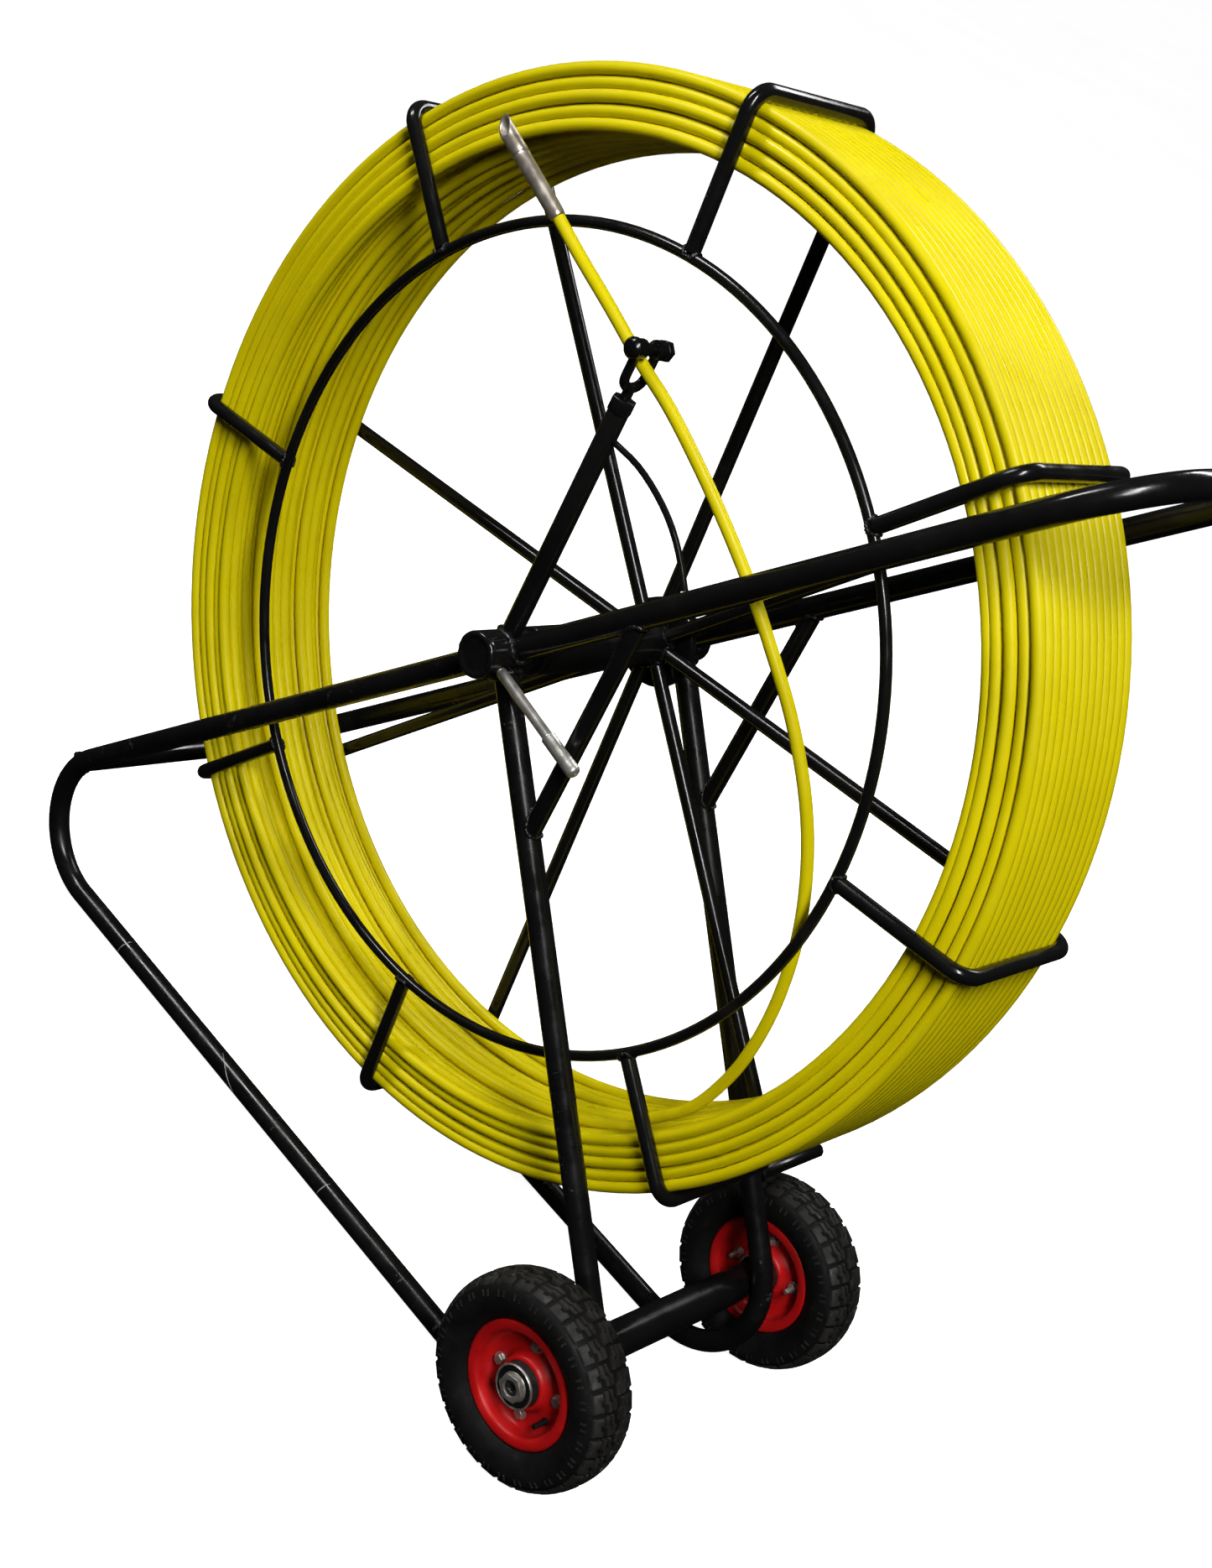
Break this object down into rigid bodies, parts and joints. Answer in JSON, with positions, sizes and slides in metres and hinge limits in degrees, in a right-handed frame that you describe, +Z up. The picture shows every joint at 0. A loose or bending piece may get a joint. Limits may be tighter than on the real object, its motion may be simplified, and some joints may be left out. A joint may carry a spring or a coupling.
{
  "type": "duct rodding machine",
  "caption": "Coiled fibreglass duct rod in a basket reel on a wheeled tube cart, with a guide fork, a reel lock and a push bar.",
  "frame": {"origin": "centre of the bounding box's base, on the floor the parked cart stands on, measured without the rod's free end", "axes": "+X along the base tubes towards the wheels and the push bar, +Y along the axles to the far side, away from the guide fork, +Z up"},
  "size_m": [1.0856, 0.4736, 1.1802],
  "materials": {
    "black_paint": "gloss",
    "rim_paint": "semi-gloss",
    "rod_jacket": "semi-gloss",
    "plated_steel": "zinc plated",
    "fitting_steel": "turned",
    "lever_steel": "polished, knurled grip",
    "hub_metal": "satin",
    "tyre_rubber": "matt",
    "valve_rubber": "matt"
  },
  "bodies": {
    "cart": {"arm_nut": "black_paint", "arm_stay_wire": "black_paint", "axle_beam": "black_paint", "axle_rod": "plated_steel", "far_axle_collar": "plated_steel", "far_axle_nut": "plated_steel", "far_axle_washer": "plated_steel", "far_boss_cap": "black_paint", "far_brace": "black_paint", "far_hub_boss": "black_paint", "far_side_tube": "black_paint", "foot_peg": "black_paint", "guide_arm": "black_paint", "handle_bow": "black_paint", "near_axle_collar": "plated_steel", "near_axle_nut": "plated_steel", "near_axle_washer": "plated_steel", "near_boss_cap": "black_paint", "near_brace": "black_paint", "near_hub_boss": "black_paint", "near_side_tube": "black_paint", "rod_ferrule": "fitting_steel", "rod_tail": "rod_jacket", "rod_tip_fitting": "fitting_steel", "toe_crossbar": "black_paint"},
    "reel": {"reel_bracket_1": "black_paint", "reel_bracket_2": "black_paint", "reel_bracket_3": "black_paint", "reel_bracket_4": "black_paint", "reel_bracket_5": "black_paint", "reel_bracket_6": "black_paint", "reel_bracket_7": "black_paint", "reel_bracket_8": "black_paint", "reel_flange": "black_paint", "reel_front_ring": "black_paint", "reel_hub_sleeve": "black_paint", "reel_shaft": "plated_steel", "rod_coil": "rod_jacket"},
    "near_wheel": {"near_rim_bolt_1": "plated_steel", "near_rim_bolt_2": "plated_steel", "near_rim_bolt_3": "plated_steel", "near_rim_bolt_4": "plated_steel", "near_rim_inner": "rim_paint", "near_rim_outer": "rim_paint", "near_tyre": "tyre_rubber", "near_valve_stem": "valve_rubber", "near_wheel_hub": "hub_metal"},
    "far_wheel": {"far_rim_bolt_1": "plated_steel", "far_rim_bolt_2": "plated_steel", "far_rim_bolt_3": "plated_steel", "far_rim_bolt_4": "plated_steel", "far_rim_inner": "rim_paint", "far_rim_outer": "rim_paint", "far_tyre": "tyre_rubber", "far_valve_stem": "valve_rubber", "far_wheel_hub": "hub_metal"},
    "lock": {"lock_lever": "lever_steel"},
    "fork": {"guide_fork": "black_paint", "fork_bolt": "black_paint", "fork_nut": "black_paint"}
  },
  "joints": [
    {"name": "reel_spin", "type": "hinge", "parent": "cart", "child": "reel", "pos_m": [-0.00216, -0.01525, 0.63959], "axis": [0, 1, 0], "continuous": true},
    {"name": "near_wheel_spin", "type": "hinge", "parent": "cart", "child": "near_wheel", "pos_m": [0.43583, -0.20525, 0.12014], "axis": [0, 1, 0], "continuous": true},
    {"name": "far_wheel_spin", "type": "hinge", "parent": "cart", "child": "far_wheel", "pos_m": [0.43583, 0.17475, 0.12014], "axis": [0, 1, 0], "continuous": true},
    {"name": "lock_turn", "type": "hinge", "parent": "cart", "child": "lock", "pos_m": [-0.00216, -0.17025, 0.63959], "axis": [0.9813, 0, -0.1925], "range_deg": [-360, 0]},
    {"name": "fork_swivel", "type": "hinge", "parent": "cart", "child": "fork", "pos_m": [-0.00127, -0.15225, 0.89558], "axis": [0.0035, 0, 1], "range_deg": [-3, 24]}
  ]
}
